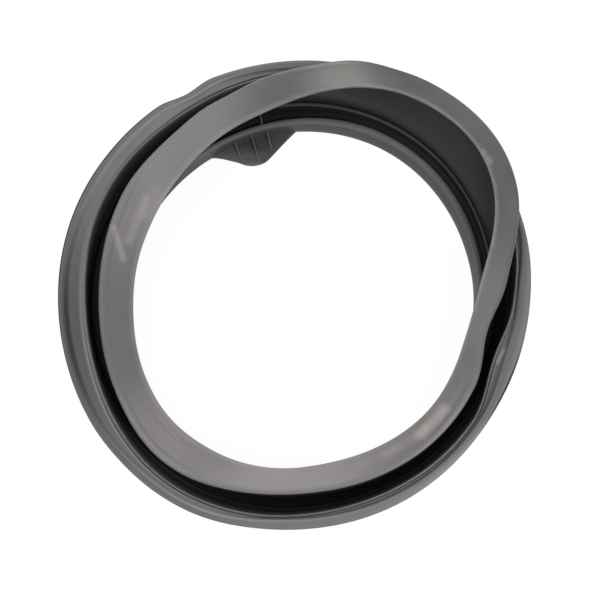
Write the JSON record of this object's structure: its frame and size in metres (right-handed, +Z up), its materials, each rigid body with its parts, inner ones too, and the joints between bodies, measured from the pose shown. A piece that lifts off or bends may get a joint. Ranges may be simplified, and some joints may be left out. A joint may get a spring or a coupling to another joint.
{
  "type": "washing machine door seal",
  "caption": "Moulded rubber bellows ring: a wide inward door lip over a folded collar, on a stiff tub ring with a ribbed drip tab, seals a front-loading washing machine",
  "frame": {"origin": "in the plane that the tub ring lies on, under the middle of the seal's box", "axes": "+Z up along the ring's axis, from the tub ring to the door lip; the drip tab points to -Y from the +Y side"},
  "size_m": [0.4006, 0.4022, 0.0908],
  "materials": {
    "grey_rubber": "matt moulded grey rubber, slightly silky, with pale scuffs on the lip"
  },
  "bodies": {
    "root": {"door_seal": "grey_rubber"}
  },
  "joints": []
}
